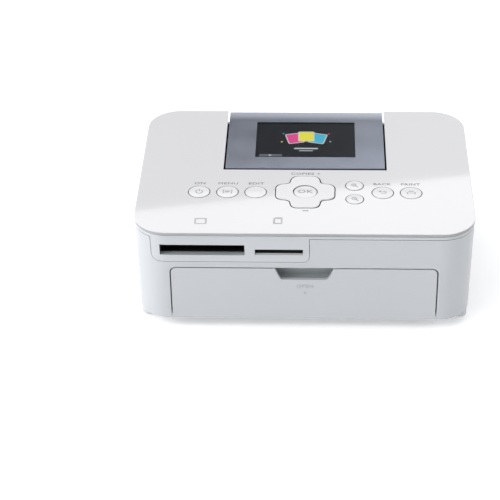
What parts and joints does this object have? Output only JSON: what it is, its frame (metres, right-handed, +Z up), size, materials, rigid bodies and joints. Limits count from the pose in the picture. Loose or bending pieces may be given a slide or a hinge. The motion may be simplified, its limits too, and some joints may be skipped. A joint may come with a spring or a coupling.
{
  "type": "compact photo printer",
  "caption": "Compact tabletop photo printer with a tilting screen panel, press keys, card slots, a drop-down front paper door and a side ink door.",
  "frame": {"origin": "centre of the footprint, on the surface the feet stand on", "axes": "+X to the right seen from the front, -Y to the front, +Z up"},
  "size_m": [0.178, 0.127, 0.0605],
  "materials": {
    "gloss_white": "glossy",
    "casing_grey": "fine satin",
    "casing_light": "satin",
    "base_grey": "satin",
    "rubber_dark": "matte",
    "steel": "ground",
    "zinc_steel": "zinc plated sheet",
    "black_plastic": "satin",
    "inner_grey": "satin",
    "mat_rubber": "matte",
    "board_green": "solder resist",
    "bronze": "sintered",
    "panel_gunmetal": "metallic lacquer",
    "panel_dark": "satin",
    "clear_window": "clear",
    "display_dark": "glossy",
    "cassette_grey": "satin",
    "cassette_black": "satin",
    "film_dark": "glossy film",
    "gear_white": "satin",
    "head_ceramic": "glazed",
    "sink_aluminium": "extruded"
  },
  "bodies": {
    "chassis": {"bottom_cover": "base_grey", "rubber_feet": "rubber_dark", "case_screws": "steel", "side_casing": "casing_grey", "rear_panel": "casing_grey", "upper_frame": "casing_light", "top_cover": "gloss_white", "screen_well": "black_plastic", "key_mat": "mat_rubber", "key_board": "board_green", "door_hinge_pins": "steel", "paper_bay": "inner_grey", "wide_card_socket": "black_plastic", "small_card_socket": "black_plastic", "circuit_boards": "board_green", "power_jack": "black_plastic", "usb_socket": "steel", "side_plate_left": "zinc_steel", "side_plate_right": "zinc_steel", "paper_guide": "black_plastic", "roller_bushes": "bronze", "feed_motor": "zinc_steel", "ribbon_motor": "zinc_steel", "motor_bracket": "zinc_steel", "head_arm_shaft": "steel", "fan_frame": "black_plastic"},
    "screen_panel": {"screen_bezel": "panel_gunmetal", "screen_window": "clear_window", "display_module": "display_dark", "screen_back": "panel_dark"},
    "power_key_body": {"power_key": "gloss_white"},
    "menu_key_body": {"menu_key": "gloss_white"},
    "edit_key_body": {"edit_key": "gloss_white"},
    "back_key_body": {"back_key": "gloss_white"},
    "print_key_body": {"print_key": "gloss_white"},
    "zoom_in_key_body": {"zoom_in_key": "gloss_white"},
    "zoom_out_key_body": {"zoom_out_key": "gloss_white"},
    "ok_key_body": {"ok_key": "gloss_white"},
    "pad_ring": {"pad_rocker_ring": "black_plastic"},
    "pad": {"direction_pad": "gloss_white"},
    "front_door": {"cassette_door": "casing_grey"},
    "side_door": {"ink_door": "casing_grey"},
    "ink_cassette": {"ink_cassette_case": "cassette_grey", "ink_film": "film_dark"},
    "supply_core": {"supply_spool": "cassette_black"},
    "take_up_core": {"take_up_spool": "cassette_black"},
    "platen": {"platen_shaft": "steel", "platen_roller": "rubber_dark", "platen_gear": "gear_white"},
    "capstan": {"capstan_roller": "steel", "capstan_gear": "gear_white"},
    "pinch": {"pinch_roller": "steel"},
    "pickup": {"pickup_roller": "rubber_dark"},
    "idler": {"idler_gear": "gear_white"},
    "pinion": {"motor_pinion": "bronze"},
    "ribbon_drive": {"ribbon_drive_hub": "gear_white"},
    "head": {"print_head": "head_ceramic", "head_heat_sink": "sink_aluminium", "head_arm": "zinc_steel"},
    "fan": {"fan_rotor": "black_plastic"}
  },
  "joints": [
    {"name": "screen_tilt", "type": "hinge", "parent": "chassis", "child": "screen_panel", "pos_m": [0, 0.005, 0.0555], "axis": [1, 0, 0], "range_deg": [0, 45]},
    {"name": "power_press", "type": "slide", "parent": "chassis", "child": "power_key_body", "axis": [0, 0, -1], "range_m": [0, 0.0005], "stiffness_N_per_m": 1000},
    {"name": "menu_press", "type": "slide", "parent": "chassis", "child": "menu_key_body", "axis": [0, 0, -1], "range_m": [0, 0.0005], "stiffness_N_per_m": 1000},
    {"name": "edit_press", "type": "slide", "parent": "chassis", "child": "edit_key_body", "axis": [0, 0, -1], "range_m": [0, 0.0005], "stiffness_N_per_m": 1000},
    {"name": "back_press", "type": "slide", "parent": "chassis", "child": "back_key_body", "axis": [0, 0, -1], "range_m": [0, 0.0005], "stiffness_N_per_m": 1000},
    {"name": "print_press", "type": "slide", "parent": "chassis", "child": "print_key_body", "axis": [0, 0, -1], "range_m": [0, 0.0005], "stiffness_N_per_m": 1000},
    {"name": "zoom_in_press", "type": "slide", "parent": "chassis", "child": "zoom_in_key_body", "axis": [0, 0, -1], "range_m": [0, 0.0005], "stiffness_N_per_m": 1000},
    {"name": "zoom_out_press", "type": "slide", "parent": "chassis", "child": "zoom_out_key_body", "axis": [0, 0, -1], "range_m": [0, 0.0005], "stiffness_N_per_m": 1000},
    {"name": "ok_press", "type": "slide", "parent": "chassis", "child": "ok_key_body", "axis": [0, 0, -1], "range_m": [0, 0.0005], "stiffness_N_per_m": 1000},
    {"name": "pad_tilt_x", "type": "hinge", "parent": "chassis", "child": "pad_ring", "pos_m": [0.0004, -0.0233, 0.057], "axis": [1, 0, 0], "range_deg": [-2, 2], "stiffness_Nm_per_rad": 0.3},
    {"name": "pad_tilt_y", "type": "hinge", "parent": "pad_ring", "child": "pad", "pos_m": [0.0004, -0.0233, 0.057], "axis": [0, 1, 0], "range_deg": [-2, 2], "stiffness_Nm_per_rad": 0.3},
    {"name": "front_door_hinge", "type": "hinge", "parent": "chassis", "child": "front_door", "pos_m": [0, -0.0605, 0.0073], "axis": [1, 0, 0], "range_deg": [0, 90]},
    {"name": "ink_slide", "type": "slide", "parent": "chassis", "child": "ink_cassette", "axis": [1, 0, 0], "range_m": [0, 0.028]},
    {"name": "side_door_hinge", "type": "hinge", "parent": "chassis", "child": "side_door", "pos_m": [0.0863, 0.0179, 0.014], "axis": [0, 1, 0], "range_deg": [0, 95]},
    {"name": "supply_spin", "type": "hinge", "parent": "ink_cassette", "child": "supply_core", "pos_m": [0, 0.002, 0.0335], "axis": [1, 0, 0], "continuous": true},
    {"name": "take_up_spin", "type": "hinge", "parent": "ink_cassette", "child": "take_up_core", "pos_m": [0, 0.036, 0.0335], "axis": [1, 0, 0], "continuous": true},
    {"name": "ribbon_drive_spin", "type": "hinge", "parent": "chassis", "child": "ribbon_drive", "pos_m": [-0.07, 0.036, 0.0335], "axis": [1, 0, 0], "continuous": true},
    {"name": "platen_spin", "type": "hinge", "parent": "chassis", "child": "platen", "pos_m": [0, 0.019, 0.017], "axis": [1, 0, 0], "continuous": true},
    {"name": "capstan_spin", "type": "hinge", "parent": "chassis", "child": "capstan", "pos_m": [0, -0.012, 0.0195], "axis": [1, 0, 0], "continuous": true},
    {"name": "idler_spin", "type": "hinge", "parent": "chassis", "child": "idler", "pos_m": [-0.07, 0.0036, 0.01949], "axis": [1, 0, 0], "continuous": true},
    {"name": "pinion_spin", "type": "hinge", "parent": "chassis", "child": "pinion", "pos_m": [-0.072, 0.0036, 0.03399], "axis": [1, 0, 0], "continuous": true},
    {"name": "pinch_spin", "type": "hinge", "parent": "chassis", "child": "pinch", "pos_m": [0, -0.012, 0.0272], "axis": [1, 0, 0], "continuous": true},
    {"name": "pickup_spin", "type": "hinge", "parent": "chassis", "child": "pickup", "pos_m": [0, -0.0242, 0.0306], "axis": [1, 0, 0], "continuous": true},
    {"name": "head_lift", "type": "hinge", "parent": "chassis", "child": "head", "pos_m": [0, 0.0005, 0.0448], "axis": [1, 0, 0], "range_deg": [-4.4, 0], "stiffness_Nm_per_rad": 0.2, "springref_deg": 4.58},
    {"name": "fan_spin", "type": "hinge", "parent": "chassis", "child": "fan", "pos_m": [-0.0815, -0.0196, 0.0205], "axis": [1, 0, 0], "continuous": true}
  ],
  "couplings": [
    {"joint": "side_door_hinge", "follows": "ink_slide", "rad_per_m": 59.212},
    {"joint": "supply_spin", "follows": "take_up_spin", "ratio": 1},
    {"joint": "ribbon_drive_spin", "follows": "take_up_spin", "ratio": 1},
    {"joint": "capstan_spin", "follows": "platen_spin", "ratio": 1},
    {"joint": "idler_spin", "follows": "platen_spin", "ratio": -1.3636},
    {"joint": "pinion_spin", "follows": "platen_spin", "ratio": 4.2857},
    {"joint": "pinch_spin", "follows": "platen_spin", "ratio": -0.875}
  ]
}
